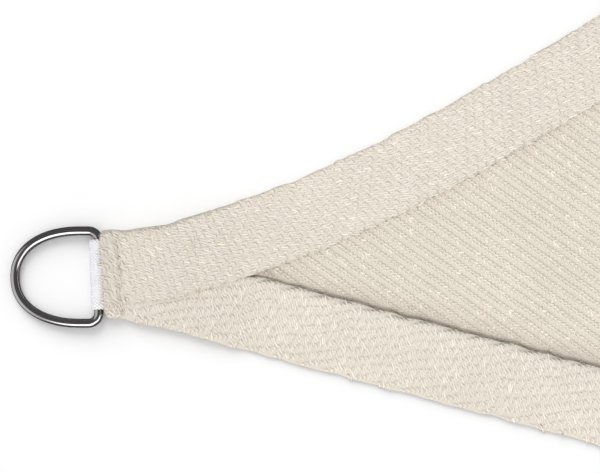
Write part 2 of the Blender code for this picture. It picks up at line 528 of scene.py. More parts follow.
# %% Helpers for node trees
def add(tree, kind, inputs=(), **settings):
    made = tree.nodes.new(kind)
    for name, value in settings.items():
        setattr(made, name, value)
    for key, value in dict(inputs).items():
        if isinstance(value, bpy.types.NodeSocket):
            tree.links.new(value, made.inputs[key])
        else:
            made.inputs[key].default_value = value
    return made


def maths(tree, operation, *values):
    inputs = dict(enumerate(values))
    return add(tree, "ShaderNodeMath", inputs, operation=operation).outputs[0]


def vector_maths(tree, operation, *values):
    inputs = dict(enumerate(values))
    made = add(tree, "ShaderNodeVectorMath", inputs, operation=operation)
    return made.outputs["Value" if operation in ("DOT_PRODUCT", "LENGTH") else "Vector"]


def map_range(tree, value, low, high, to_low=0.0, to_high=1.0, kind="SMOOTHSTEP"):
    inputs = {0: value, 1: low, 2: high, 3: to_low, 4: to_high}
    return add(tree, "ShaderNodeMapRange", inputs, interpolation_type=kind).outputs[0]


def mixed(tree, factor, first, second):
    inputs = {0: factor, 6: first, 7: second}
    return add(tree, "ShaderNodeMix", inputs, data_type="RGBA").outputs[2]


def times_colour(tree, colour, factor):
    """A plain colour, or a socket's, made lighter or darker by a number."""
    return vector_maths(tree, "MULTIPLY", colour, factor)


def new_material(name, roughness, metallic=0.0):
    """A material, its tree and its main shader, with the constants set on the shader."""
    material = bpy.data.materials.new(name)
    material.use_nodes = True
    tree = material.node_tree
    shader = tree.nodes["Principled BSDF"]
    shader.inputs["Roughness"].default_value = roughness
    shader.inputs["Metallic"].default_value = metallic
    return material, tree, shader


def stored(tree, name):
    return add(tree, "ShaderNodeAttribute", attribute_name=name).outputs["Fac"]


# %% [markdown]
# ## The knit
#
# Shade cloth is a warp knit of flat plastic yarn.  Its face has slanting chains of
# V-shaped loops about 5 mm apart, and its reverse, which shows on the turned hems, has
# rows of short floats like grains of rice.  Both follow one lattice fixed in the cloth.
#
# The body of the cloth gets the chains as bump, and as painted shade in its colour that
# is darker between the loops, because relief on all of it would take millions of faces.
# Where the sail is seen close up, on the hems and at the corners, the yarns are real
# shapes laid on top, and the cloth under them only has to be a ground of its own colour,
# a little darker as painted shade in the gaps between the yarns.

# %% The knit's lattice
KNIT_TURN = math.radians(-3.3)
CHAIN_ANGLE = math.radians(-35) + KNIT_TURN
ROW_ANGLE = math.radians(45) + KNIT_TURN
CHAIN_SPACING = 5.05 * MM
LOOP_PITCH = 2.55 * MM
FLOAT_SPACING = 5.2 * MM
ROW_SPACING = 2.55 * MM
ROW_SHIFT = -0.587 * FLOAT_SPACING
CLOTH_COLOUR = (0.722, 0.671, 0.578)
HEM_COLOUR = (0.755, 0.703, 0.627)

# %% The cloth's material
cloth_material, tree, shader = new_material("knitted cloth", 0.85)
flat_map = add(tree, "ShaderNodeUVMap", uv_map="flat_cloth").outputs[0]
turned = add(
    tree,
    "ShaderNodeVectorRotate",
    {"Vector": flat_map, "Angle": -CHAIN_ANGLE},
    rotation_type="Z_AXIS",
).outputs[0]
wander = add(
    tree, "ShaderNodeTexNoise", {"Vector": flat_map, "Scale": 90, "Detail": 2}
).outputs["Color"]
wander = vector_maths(tree, "SUBTRACT", wander, (0.5, 0.5, 0.5))
wander = vector_maths(tree, "MULTIPLY", wander, (0.0022, 0.0022, 0))
parts = add(
    tree, "ShaderNodeSeparateXYZ", {0: vector_maths(tree, "ADD", turned, wander)}
).outputs
across = maths(tree, "DIVIDE", parts["Y"], CHAIN_SPACING)
from_chain = maths(tree, "PINGPONG", across, 0.5)
chain = map_range(tree, from_chain, 0.46, 0.12)
loops = maths(tree, "DIVIDE", parts["X"], LOOP_PITCH)
loops = maths(tree, "ADD", loops, maths(tree, "MULTIPLY", from_chain, 1.3))
legs = map_range(tree, maths(tree, "PINGPONG", loops, 0.5), 0.02, 0.34)
relief = maths(tree, "MULTIPLY", chain, maths(tree, "MULTIPLY_ADD", legs, 0.7, 0.3))
bump = add(
    tree,
    "ShaderNodeBump",
    {"Strength": 0.8, "Distance": 0.9 * MM, "Height": relief},
)
tree.links.new(bump.outputs[0], shader.inputs["Normal"])
patches = add(
    tree, "ShaderNodeTexNoise", {"Vector": flat_map, "Scale": 22, "Detail": 4}
).outputs["Fac"]
# painted shade: the colour is a little darker between the chains and loops, following the same
# relief as the bump
light = maths(tree, "MULTIPLY_ADD", relief, 0.12, 0.9)
light = maths(
    tree, "MULTIPLY", light, map_range(tree, patches, 0.3, 0.7, 0.975, 1.02)
)
light = maths(tree, "MULTIPLY", light, stored(tree, "tone"))
# painted shade in the creases: the colour is made darker and browner by the stored number
painted_shade = stored(tree, "deep")
light = maths(tree, "MULTIPLY", light, maths(tree, "MULTIPLY_ADD", painted_shade, -0.3, 1))
colour = mixed(tree, painted_shade, (*CLOTH_COLOUR, 1), (0.80, 0.67, 0.58, 1))
tree.links.new(times_colour(tree, colour, light), shader.inputs["Base Color"])
cloth.data.materials.append(cloth_material)
print("knitted cloth:", len(tree.nodes), "nodes")

# %% [markdown]
# ## Yarn laid on the cloth
#
# Thousands of short yarns could be scattered on the surface, but a knit isn't random.
# This Geometry Nodes tree makes a flat lattice of points, looks each one up in the
# cloth's flat map, and sets a rice-shaped float where the map says that point lies now.
# The same tree serves the hems, the chains of the face, and the woven tape: only the
# numbers differ.  Each float gets its own tone, size and turn from a fixed seed.

# %% The tree that lays floats
FLOAT_SETTINGS = {  # name: (kind of socket, start value)
    "Map Name": ("String", "flat_cloth"),
    "Middle": ("Vector", (0, 0, 0)),
    "Columns": ("Int", 10),
    "Rows": ("Int", 10),
    "Row Angle": ("Float", 0.0),
    "Float Spacing": ("Float", 0.005),
    "Row Spacing": ("Float", 0.0025),
    "Row Shift": ("Float", 0.0),
    "Along": ("Float", 0.0),
    "Aside": ("Float", 0.0),
    "Turn": ("Float", 0.0),
    "Length": ("Float", 0.005),
    "Width": ("Float", 0.002),
    "Height": ("Float", 0.001),
    "Lift": ("Float", 0.0),
    "Unevenness": ("Float", 0.15),
    "Seed": ("Int", 1),
    "Material": ("Material", None),
}
floats_tree = bpy.data.node_groups.new("lay floats", "GeometryNodeTree")
floats_tree.interface.new_socket("Cloth", socket_type="NodeSocketGeometry")
for name, (kind, value) in FLOAT_SETTINGS.items():
    socket = floats_tree.interface.new_socket(name, socket_type="NodeSocket" + kind)
    if value is not None:
        socket.default_value = value
floats_tree.interface.new_socket(
    "Floats", in_out="OUTPUT", socket_type="NodeSocketGeometry"
)
given = add(floats_tree, "NodeGroupInput").outputs


def random_number(tree, low, high, seed_step):
    inputs = {2: low, 3: high, 8: maths(tree, "ADD", given["Seed"], seed_step)}
    made = add(tree, "FunctionNodeRandomValue", inputs, data_type="FLOAT")
    return made.outputs[1]


def uneven(tree, value, seed_step):
    """A value made larger or smaller by a random share of it."""
    share = random_number(tree, -1, 1, seed_step)
    share = maths(tree, "MULTIPLY_ADD", share, given["Unevenness"], 1)
    return maths(tree, "MULTIPLY", value, share)


def direction(tree, angle):
    inputs = {0: maths(tree, "COSINE", angle), 1: maths(tree, "SINE", angle)}
    return add(tree, "ShaderNodeCombineXYZ", inputs).outputs[0]


def looked_up(tree, value, place, kind="FLOAT_VECTOR"):
    inputs = {0: given["Cloth"], 1: value, 2: flat_place, 3: place}
    return add(tree, "GeometryNodeSampleUVSurface", inputs, data_type=kind).outputs


def named(tree, name, kind="FLOAT"):
    inputs = {"Name": name}
    node = add(tree, "GeometryNodeInputNamedAttribute", inputs, data_type=kind)
    return node.outputs[0]


tree = floats_tree
flat_place = named(tree, given["Map Name"], "FLOAT_VECTOR")
lattice = add(
    tree,
    "GeometryNodeMeshGrid",
    {
        0: maths(tree, "SUBTRACT", given["Columns"], 1),
        1: maths(tree, "SUBTRACT", given["Rows"], 1),
        2: given["Columns"],
        3: given["Rows"],
    },
).outputs[0]
index = add(
    tree,
    "ShaderNodeSeparateXYZ",
    {0: add(tree, "GeometryNodeInputPosition").outputs[0]},
).outputs
shift = maths(tree, "MULTIPLY", index[1], given["Row Shift"])
shift = maths(tree, "WRAP", shift, given["Float Spacing"], 0.0)
along = maths(tree, "MULTIPLY_ADD", index[0], given["Float Spacing"], shift)
jitter = maths(tree, "MULTIPLY", given["Float Spacing"], 0.45)
jitter = maths(tree, "MULTIPLY", jitter, given["Unevenness"])
along = maths(
    tree, "MULTIPLY_ADD", random_number(tree, -1, 1, 11), jitter, along
)
along = maths(tree, "ADD", along, given["Along"])
across = maths(tree, "MULTIPLY_ADD", index[1], given["Row Spacing"], given["Aside"])
row_way = direction(tree, given["Row Angle"])
row_side = direction(tree, maths(tree, "ADD", given["Row Angle"], math.pi / 2))


def scaled(tree, vector, factor):
    inputs = {0: vector, "Scale": factor}
    node = add(tree, "ShaderNodeVectorMath", inputs, operation="SCALE")
    return node.outputs[0]


flat_spot = vector_maths(
    tree, "ADD", scaled(tree, row_way, along), scaled(tree, row_side, across)
)
flat_spot = vector_maths(tree, "ADD", flat_spot, given["Middle"])
turn = maths(
    tree,
    "MULTIPLY_ADD",
    random_number(tree, -0.6, 0.6, 12),
    given["Unevenness"],
    maths(tree, "ADD", given["Row Angle"], given["Turn"]),
)
ahead = scaled(tree, direction(tree, turn), 0.8 * MM)
ahead = vector_maths(tree, "ADD", flat_spot, ahead)
position = add(tree, "GeometryNodeInputPosition").outputs[0]
here = looked_up(tree, position, flat_spot)
there = looked_up(tree, position, ahead)
normal = looked_up(tree, add(tree, "GeometryNodeInputNormal").outputs[0], flat_spot)[0]
bare = looked_up(tree, named(tree, "bare"), flat_spot, "FLOAT")[0]
tone = looked_up(tree, named(tree, "tone"), flat_spot, "FLOAT")[0]
shown = maths(tree, "GREATER_THAN", bare, random_number(tree, 0.02, 0.98, 13))
for found in (here[1], there[1]):
    shown = maths(tree, "MULTIPLY", shown, found)
rotation = add(
    tree,
    "FunctionNodeAxesToRotation",
    {0: normal, 1: vector_maths(tree, "SUBTRACT", there[0], here[0])},
    primary_axis="Z",
    secondary_axis="X",
).outputs[0]
size = add(
    tree,
    "ShaderNodeCombineXYZ",
    {
        0: uneven(tree, given["Length"], 1),
        1: uneven(tree, given["Width"], 2),
        2: uneven(tree, given["Height"], 3),
    },
).outputs[0]

# %% [markdown]
# Every number above depends on where the lattice point is.  They are captured before the
# points move on to the cloth, because after that the same questions would be asked at
# the new places.

# %% Capture, move, and set the floats
captured = {
    "Place": ("VECTOR", vector_maths(tree, "ADD", here[0], scaled(tree, normal, given["Lift"]))),
    "Rotation": ("ROTATION", rotation),
    "Size": ("VECTOR", size),
    "Shown": ("FLOAT", shown),
    "Tone": ("FLOAT", maths(tree, "MULTIPLY", tone, random_number(tree, 0.95, 1.04, 21))),
    "Gleam": ("FLOAT", random_number(tree, 0, 1, 22)),
}
capture = tree.nodes.new("GeometryNodeCaptureAttribute")
for name, (kind, value) in captured.items():
    capture.capture_items.new(kind, name)
    tree.links.new(value, capture.inputs[name])
tree.links.new(lattice, capture.inputs["Geometry"])
kept = capture.outputs
placed = add(
    tree,
    "GeometryNodeSetPosition",
    {"Geometry": kept["Geometry"], "Position": kept["Place"]},
).outputs[0]
for name in ("Tone", "Gleam"):
    placed = add(
        tree,
        "GeometryNodeStoreNamedAttribute",
        {"Geometry": placed, "Name": name.lower(), "Value": kept[name]},
    ).outputs[0]
grain = add(tree, "GeometryNodeMeshUVSphere", {0: 4, 1: 3, 2: 0.5}).outputs[0]
grain = add(
    tree, "GeometryNodeTransform", {"Geometry": grain, "Rotation": (0, math.pi / 2, 0)}
).outputs[0]
# a float bows up in its middle and dives into the cloth at its two ends
from_middle = add(
    tree,
    "ShaderNodeSeparateXYZ",
    {0: add(tree, "GeometryNodeInputPosition").outputs[0]},
).outputs["X"]
dive = maths(tree, "MULTIPLY", maths(tree, "MULTIPLY", from_middle, from_middle), -1.6)
grain = add(
    tree,
    "GeometryNodeSetPosition",
    {
        "Geometry": grain,
        "Offset": add(tree, "ShaderNodeCombineXYZ", {2: dive}).outputs[0],
    },
).outputs[0]
laid = add(
    tree,
    "GeometryNodeInstanceOnPoints",
    {
        "Points": placed,
        "Selection": kept["Shown"],
        "Instance": grain,
        "Rotation": kept["Rotation"],
        "Scale": kept["Size"],
    },
).outputs[0]
laid = add(tree, "GeometryNodeRealizeInstances", {0: laid}).outputs[0]
laid = add(tree, "GeometryNodeSetShadeSmooth", {0: laid}).outputs[0]
laid = add(
    tree, "GeometryNodeSetMaterial", {0: laid, "Material": given["Material"]}
).outputs[0]
add(tree, "NodeGroupOutput", {0: laid})
print("lay floats:", len(tree.nodes), "nodes")

# %% Run a tree on a source, and keep the result as a plain mesh


def run_tree(tree, source, name, settings):
    """Runs a Geometry Nodes tree on a source object and returns the mesh it makes."""
    modifier = source.modifiers.new(name, "NODES")
    modifier.node_group = tree
    sockets = {s.name: s for s in tree.interface.items_tree if s.in_out == "INPUT"}
    for key, value in settings.items():
        modifier[sockets[key].identifier] = value
    graph = bpy.context.evaluated_depsgraph_get()
    mesh = bpy.data.meshes.new_from_object(source.evaluated_get(graph))
    source.modifiers.remove(modifier)
    mesh.name = name
    made = bpy.data.objects.new(name, mesh)
    bpy.context.scene.collection.objects.link(made)
    return made


PRESSED = 0.1 * MM  # yarn that comes round a fold is pressed flat by the floor


def lay_floats(source, name, flats, material, angle, **settings):
    """Lays floats on a source, with a lattice just large enough for its flat map."""
    turned = flats * cmath.rect(1, -angle)
    low = complex(turned.real.min(), turned.imag.min())
    high = complex(turned.real.max(), turned.imag.max())
    spacing, row_spacing = settings["Float Spacing"], settings["Row Spacing"]
    # the middle stays on the lattice, so that neighbouring pieces share it
    middle = (low + high) / 2
    middle = complex(
        round(middle.real / spacing) * spacing,
        round(middle.imag / row_spacing / 2) * row_spacing * 2,
    )
    size = high - low
    counts = {
        "Columns": 2 * int(size.real / spacing / 2 + 3) + 1,
        "Rows": 2 * int(size.imag / row_spacing / 2 + 3) + 1,
    }
    middle *= cmath.rect(1, angle)
    settings |= counts
    settings |= {"Row Angle": angle, "Middle": (middle.real, middle.imag, 0.0)}
    made = run_tree(floats_tree, source, name, settings | {"Material": material})
    for vertex in made.data.vertices:
        vertex.co.z = max(vertex.co.z, PRESSED)
    print(name, "has", len(made.data.polygons), "faces")
    return made


# %% [markdown]
# ## The hems' yarns
#
# The yarn is extruded plastic, off white and a little shiny, so each float can catch
# the light on its own.  The material reads the tone stored with each float and a second
# random number that makes some of them glossier, and gives the glossiest few a lighter
# colour as a painted glint.

# %% The yarn's material


def yarn_material(name, colour, roughness):
    material, tree, shader = new_material(name, roughness)
    tone = stored(tree, "tone")
    gleam = stored(tree, "gleam")
    place = add(tree, "ShaderNodeTexCoord").outputs["Object"]
    patches = add(
        tree, "ShaderNodeTexNoise", {"Vector": place, "Scale": 25, "Detail": 3}
    ).outputs["Fac"]
    light = maths(
        tree, "MULTIPLY", tone, map_range(tree, patches, 0.3, 0.7, 0.97, 1.03)
    )
    # painted glint: the glossiest few floats get a lighter colour
    painted_glint = maths(tree, "MULTIPLY", map_range(tree, gleam, 0.86, 1.0), 0.18)
    light = maths(tree, "ADD", light, painted_glint)
    tree.links.new(times_colour(tree, colour, light), shader.inputs["Base Color"])
    tree.links.new(
        map_range(tree, gleam, 0.6, 1.0, roughness, roughness - 0.2),
        shader.inputs["Roughness"],
    )
    return material


hem_yarn = yarn_material("hem yarn", HEM_COLOUR, 0.55)
face_yarn = yarn_material("face yarn", CLOTH_COLOUR, 0.6)

# %% Lay the hems' floats


def overhung(column):
    """A column of the strip's numbers, carried a little past the hem's inner edge."""
    return np.concatenate([column, 1.5 * column[:, -1:] - 0.5 * column[:, -2:-1]], 1)


def edge_source(edge):
    """The upper side of one edge's strip, as a surface for the floats to lie on."""
    strip_places, strip_heights, strip_flats, strip_tone, _, strip_bare = (
        overhung(column) for column in EDGES[edge]
    )
    # floats that cross an edge stop short of it, and floats along it go right up to it
    across = unit(strip_flats[:, -1:] - strip_flats[:, -2:-1])
    crossing = abs((across * cmath.rect(1, -ROW_ANGLE)).real)
    strip_bare[:, -2:] = (0.9, -0.1) - 2 * crossing
    from_inside = abs(strip_places - strip_places[:, -2:-1])
    inset = from_inside.max(1, keepdims=True) - from_inside
    strip_bare *= 1 - crossing * (1 - smooth_step(0.8 * MM, 3.2 * MM, inset))
    top = np.s_[:, FOLD_START:]
    shape = strip_places[top].shape
    points = np.stack(
        [a[top].ravel() for a in (strip_places.real, strip_places.imag, strip_heights)],
        1,
    )
    source = new_piece("edge_source", points, strip_faces(*shape))
    source.data.flip_normals()
    give_flat_map(source, strip_flats[top].ravel())
    give_numbers(source, tone=strip_tone[top], bare=strip_bare[top])
    return source, strip_flats[top].ravel()


HEM_STRANDS = {  # name: aside, along, seed
    "upper": (0.62 * MM, 0.5 * MM, 3),
    "lower": (-0.62 * MM, -0.5 * MM, 4),
}
hem_floats = []
for edge in range(CORNERS):
    source, source_flats = edge_source(edge)
    for name, (aside, along, seed) in HEM_STRANDS.items():
        hem_floats.append(
            lay_floats(
                source,
                f"hem_{name}_strands_{edge + 1}",
                source_flats,
                hem_yarn,
                ROW_ANGLE,
                **{
                    "Float Spacing": FLOAT_SPACING,
                    "Row Spacing": ROW_SPACING,
                    "Row Shift": ROW_SHIFT,
                    "Aside": aside,
                    "Along": along,
                    "Length": 6.0 * MM,
                    "Width": 1.45 * MM,
                    "Height": 0.8 * MM,
                    "Lift": CLOTH / 2 - 0.06 * MM,
                    "Unevenness": 0.32,
                    "Seed": 10 * edge + seed,
                },
            )
        )
    bpy.data.objects.remove(source)

# %% [markdown]
# ## The loops of the face
#
# On the flat middle the same lattice carries the knit's face.  Each chain is a line of
# V-shaped loops, so it takes two floats to a loop, leaning left and right, and a shorter
# float bridges to the next chain.  They cover the three corners, where people handle the
# sail, and thin out where the colour and bump take over.

# %% Lay the face's loops at each corner
FACE_REACH = 320 * MM


def face_source(corner):
    """A patch of the flat middle at one corner, and how bare each point of it is."""
    step = 4 * MM
    xs = np.arange(60 * MM, FACE_REACH + 40 * MM, step)
    ys = np.arange(-110 * MM, 250 * MM, step)
    plan = xs[:, None] + 1j * ys[None, :]
    patch = at_corner(corner, plan)
    bare = np.ones(patch.shape)
    for edge in range(CORNERS):
        past, _ = past_hem(patch, edge)
        bare *= past > -2 * MM
    bare *= 1 - smooth_step(FACE_REACH - 50 * MM, FACE_REACH, abs(plan))
    tone, deep = panel_shade(patch)
    height = CLOTH / 2 + wave_height(patch)
    points = np.stack([patch.real.ravel(), patch.imag.ravel(), height.ravel()], 1)
    source = new_piece("face_source", points, strip_faces(*patch.shape))
    give_flat_map(source, patch.ravel())
    # the floats' tone carries the painted crease shade too, darker beside the hems
    give_numbers(source, tone=tone * (1 - 0.3 * deep), bare=bare)
    return source, patch.ravel()


LEG = {
    "Float Spacing": LOOP_PITCH,
    "Row Spacing": CHAIN_SPACING,
    "Row Shift": 0.35 * LOOP_PITCH,
    "Length": 3.7 * MM,
    "Width": 1.75 * MM,
    "Height": 0.95 * MM,
    "Lift": CLOTH / 2,
    "Unevenness": 0.3,
}
BRIDGE = LEG | {
    "Aside": CHAIN_SPACING / 2,
    "Turn": math.radians(75),
    "Length": 3.2 * MM,
    "Width": 1.3 * MM,
    "Height": 0.8 * MM,
    "Lift": CLOTH / 2 - 0.1 * MM,
}
face_loops = []
for corner in range(CORNERS):
    source, source_flats = face_source(corner)
    for name, kind in (
        ("left_legs", LEG | {"Aside": 0.8 * MM, "Turn": math.radians(27)}),
        ("right_legs", LEG | {"Aside": -0.8 * MM, "Turn": math.radians(-27)}),
        ("bridges", BRIDGE),
    ):
        face_loops.append(
            lay_floats(
                source,
                f"face_{name}_{corner + 1}",
                source_flats,
                face_yarn,
                CHAIN_ANGLE,
                **kind | {"Seed": 100 + 10 * corner + len(name)},
            )
        )
    bpy.data.objects.remove(source)

# %% [markdown]
# ## The D-rings
#
# Each ring is one length of 5 mm steel rod, bent to a D, welded inside the tape and
# polished.  A curve with a round bevel is how the solid model draws it too, here with
# enough steps for a mirror finish to stay smooth.

# %% The steel
steel, tree, shader = new_material("polished steel", 0.1, metallic=1.0)
place = add(tree, "ShaderNodeTexCoord").outputs["Object"]
marks = add(
    tree, "ShaderNodeTexNoise", {"Vector": place, "Scale": 900, "Detail": 3}
).outputs["Fac"]
broad = add(
    tree, "ShaderNodeTexNoise", {"Vector": place, "Scale": 120, "Detail": 2}
).outputs["Fac"]
tree.links.new(map_range(tree, marks, 0.3, 0.8, 0.07, 0.17), shader.inputs["Roughness"])
tree.links.new(
    times_colour(tree, (0.70, 0.68, 0.70), map_range(tree, broad, 0.3, 0.7, 0.93, 1.0)),
    shader.inputs["Base Color"],
)
polish = add(tree, "ShaderNodeBump", {"Strength": 0.12, "Distance": 0.05 * MM, "Height": broad})
tree.links.new(polish.outputs[0], shader.inputs["Normal"])

# %% The rings' shape
WIRE = 5 * MM
RING_BAR = 25.4 * MM  # half the ring's width, at the middle of the rod
RING_BEND = 5.8 * MM
RING_WIDEST = 10.2 * MM  # from the bar to where the bow starts
RING_BOW = 36.3 * MM
BOW_ROUNDNESS = 2.2
RING_TURN = math.radians(-3.3)
RING_ASIDE = -1.5 * MM
BAR_AHEAD = 2.6 * MM
LOOP_HEIGHT = 3.4 * MM
LOOP_LENGTH = 4.0 * MM
BAR_HEIGHT = LOOP_HEIGHT + CLOTH / 2 + 0.1 * MM
LIE_DOWN = math.asin((BAR_HEIGHT - WIRE / 2 - 0.02 * MM) / (RING_WIDEST + RING_BOW))


def ring_line(bow_steps=120, bend_steps=12):
    """The middle of the rod, in the ring's own plan, with the bar at x = 0."""
    line = []
    for side in (1, -1):
        bend = []
        for i in range(bend_steps + 1):
            angle = math.pi / 2 * i / bend_steps
            x = RING_BEND * (math.cos(angle) - 1)
            y = RING_BAR - RING_BEND + RING_BEND * math.sin(angle)
            bend.append((x, side * y))
        if side == 1:
            line += bend
            for i in range(bow_steps + 1):
                angle = math.pi * i / bow_steps
                power = 2 / BOW_ROUNDNESS
                x = -RING_WIDEST - RING_BOW * math.sin(angle) ** power
                y = abs(math.cos(angle)) ** power
                line.append((x, RING_BAR * math.copysign(y, math.cos(angle))))
        else:
            line += bend[::-1]
    return line


def settled(piece, matrix, name):
    """Turns a piece into a plain mesh with its place in the mesh itself."""
    bpy.context.view_layer.update()
    graph = bpy.context.evaluated_depsgraph_get()
    mesh = bpy.data.meshes.new_from_object(piece.evaluated_get(graph))
    bpy.data.objects.remove(piece)
    mesh.transform(matrix)
    mesh.name = name
    made = bpy.data.objects.new(name, mesh)
    bpy.context.scene.collection.objects.link(made)
    for face in mesh.polygons:
        face.use_smooth = True
    return made


def corner_matrix(corner, point, height, turn):
    place = at_corner(corner, point)
    angle = cmath.phase(ONE_TURN**corner) + turn
    return Matrix.Translation((place.real, place.imag, height)) @ Matrix.Rotation(
        angle, 4, "Z"
    )


def make_ring(corner):
    curve = bpy.data.curves.new("ring_line", "CURVE")
    curve.dimensions = "3D"
    curve.bevel_depth = WIRE / 2
    curve.bevel_resolution = 7
    spline = curve.splines.new("POLY")
    line = ring_line()
    spline.points.add(len(line) - 1)
    for point, (x, y) in zip(spline.points, line):
        point.co = (x, y, 0, 1)
    spline.use_cyclic_u = True
    curve.materials.append(steel)
    rod = bpy.data.objects.new("ring_line", curve)
    bpy.context.scene.collection.objects.link(rod)
    place = corner_matrix(corner, -BAR_AHEAD + 1j * RING_ASIDE, BAR_HEIGHT, RING_TURN)
    lean = Matrix.Rotation(-LIE_DOWN, 4, "Y")
    return settled(rod, place @ lean, f"polished_ring_{corner + 1}")


rings = [make_ring(corner) for corner in range(CORNERS)]
print("faces in a ring:", len(rings[0].data.polygons))

# %% [markdown]
# ## The loops of tape
#
# A woven tape goes round the bar of the ring and back between the layers of cloth.  It
# is drawn as its profile, swept across its width, and Solidify makes it a tape.  Its
# weave is laid with the same tree as the knit: fine warp floats in offset rows, and only
# where the tape can be seen.

# %% The tape and its weave
WEBBING_WIDTH = 38 * MM
WEBBING_TAIL = 50 * MM
WEBBING_TURN = math.radians(-1.6)
TAPE_COLOUR = (0.86, 0.86, 0.87)
tape_material, tree, shader = new_material("woven tape", 0.7)
tape_map = add(tree, "ShaderNodeUVMap", uv_map="flat_cloth").outputs[0]
weave = add(
    tree,
    "ShaderNodeTexChecker",
    {
        "Vector": tape_map,
        "Scale": 1 / (1.0 * MM),
        "Color1": (0.66, 0.66, 0.69, 1),
        "Color2": (0.78, 0.78, 0.80, 1),
    },
).outputs["Color"]
tree.links.new(weave, shader.inputs["Base Color"])
tape_yarn = yarn_material("tape yarn", TAPE_COLOUR, 0.5)


def tape_profile(loop_steps=28):
    """The middle of the tape from the side: a tail, round the bar, and back over it."""
    lower, upper = CLOTH / 2 + LAYER, CLOTH / 2 + 2 * LAYER
    lower_leave, upper_leave = math.radians(22), math.radians(27)
    tail = [WEBBING_TAIL - i * 4 * MM for i in range(12)]
    profile = [(x, lower) for x in tail] + [(LOOP_LENGTH - 1.7 * MM, lower)]
    first, last = math.pi * 1.5 + lower_leave, math.pi / 2 - upper_leave
    for i in range(loop_steps + 1):
        angle = first + (last - first) * i / loop_steps
        x = -BAR_AHEAD + LOOP_LENGTH * math.cos(angle)
        profile.append((x, BAR_HEIGHT + LOOP_HEIGHT * math.sin(angle)))
    x, height = profile[-1]
    slope = LOOP_HEIGHT / LOOP_LENGTH * math.tan(upper_leave)
    profile.append((x + (height - upper) / slope, upper))
    return np.array(profile + [(x, upper) for x in tail[::-1]])


def make_tape(corner):
    """One loop of tape, its floats, and its flat length."""
    profile = tape_profile()
    steps = np.hypot(*np.diff(profile, axis=0).T)
    run = np.concatenate([[0], np.cumsum(steps)])
    sides = np.linspace(-WEBBING_WIDTH / 2, WEBBING_WIDTH / 2, 20)
    xs = np.repeat(profile[:, 0], len(sides))
    zs = np.repeat(profile[:, 1], len(sides))
    ys = np.tile(sides, len(profile))
    flats = np.repeat(run, len(sides)) + 1j * ys
    name = f"tape_loop_{corner + 1}"
    faces = strip_faces(len(profile), len(sides))
    tape = new_piece(name, np.stack([xs, ys, zs], 1), faces, tape_material)
    give_flat_map(tape, flats)
    matrix = corner_matrix(corner, 0, 0, WEBBING_TURN)
    tape.data.transform(matrix)
    give_numbers(tape, tone=np.ones(len(xs)), bare=(xs < 2.5 * MM) * 1.0)
    floats = lay_floats(
        tape,
        f"tape_weave_{corner + 1}",
        flats,
        tape_yarn,
        0.0,
        **{
            "Float Spacing": 1.9 * MM,
            "Row Spacing": 0.86 * MM,
            "Row Shift": 0.95 * MM,
            "Length": 1.75 * MM,
            "Width": 0.84 * MM,
            "Height": 0.36 * MM,
            "Lift": CLOTH / 2,
            "Unevenness": 0.08,
            "Seed": 40 + corner,
        },
    )
    solidify = tape.modifiers.new("thickness", "SOLIDIFY")
    solidify.thickness = CLOTH
    solidify.offset = 0
    return settled(tape, Matrix.Identity(4), name), floats, run[-1]


tapes = [make_tape(corner) for corner in range(CORNERS)]

# %% [markdown]
# ## The seams
#
# At each corner a row of lockstitches goes through every layer just behind the ring,
# and a second one holds the end of the tape.  The thread sinks into the groove, and
# between two stitches the groove shows dark, from its depth and from painted shade in
# the cloth's colour.  A short tree sets one stitch at every step along a line.

# %% The tree that sews
sewing_tree = bpy.data.node_groups.new("sew", "GeometryNodeTree")
tree = sewing_tree
tree.interface.new_socket("Line", socket_type="NodeSocketGeometry")
for name, value in (("Spacing", 0.005), ("Length", 0.004), ("Thickness", 0.001)):
    tree.interface.new_socket(name, socket_type="NodeSocketFloat").default_value = value
tree.interface.new_socket("Seed", socket_type="NodeSocketInt").default_value = 1
tree.interface.new_socket("Material", socket_type="NodeSocketMaterial")
tree.interface.new_socket(
    "Stitches", in_out="OUTPUT", socket_type="NodeSocketGeometry"
)
given = add(tree, "NodeGroupInput").outputs
line = add(tree, "GeometryNodeMeshToCurve", {0: given["Line"]}).outputs[0]
line = add(
    tree,
    "GeometryNodeResampleCurve",
    {"Curve": line, "Length": given["Spacing"]},
    mode="LENGTH",
).outputs[0]
stitch = add(tree, "GeometryNodeMeshUVSphere", {0: 8, 1: 6, 2: 0.5}).outputs[0]
stitch = add(
    tree, "GeometryNodeTransform", {"Geometry": stitch, "Rotation": (0, math.pi / 2, 0)}
).outputs[0]
tangent = add(tree, "GeometryNodeInputTangent").outputs[0]
facing = add(
    tree,
    "FunctionNodeAxesToRotation",
    {0: (0, 0, 1), 1: tangent},
    primary_axis="Z",
    secondary_axis="X",
).outputs[0]
thread_size = add(
    tree,
    "ShaderNodeCombineXYZ",
    {
        0: maths(tree, "MULTIPLY", given["Length"], random_number(tree, 0.8, 1.1, 1)),
        1: given["Thickness"],
        2: given["Thickness"],
    },
).outputs[0]
sewn = add(
    tree,
    "GeometryNodeInstanceOnPoints",
    {"Points": line, "Instance": stitch, "Rotation": facing, "Scale": thread_size},
).outputs[0]
sewn = add(tree, "GeometryNodeRealizeInstances", {0: sewn}).outputs[0]
sewn = add(tree, "GeometryNodeSetShadeSmooth", {0: sewn}).outputs[0]
sewn = add(
    tree, "GeometryNodeSetMaterial", {0: sewn, "Material": given["Material"]}
).outputs[0]
add(tree, "NodeGroupOutput", {0: sewn})

# %% Sew the corners
thread_material, tree, shader = new_material("sewing thread", 0.6)
place = add(tree, "ShaderNodeTexCoord").outputs["Object"]
fuzz = add(tree, "ShaderNodeTexNoise", {"Vector": place, "Scale": 700}).outputs["Fac"]
tree.links.new(
    times_colour(tree, (0.72, 0.66, 0.56), map_range(tree, fuzz, 0.3, 0.7, 0.85, 1.05)),
    shader.inputs["Base Color"],
)


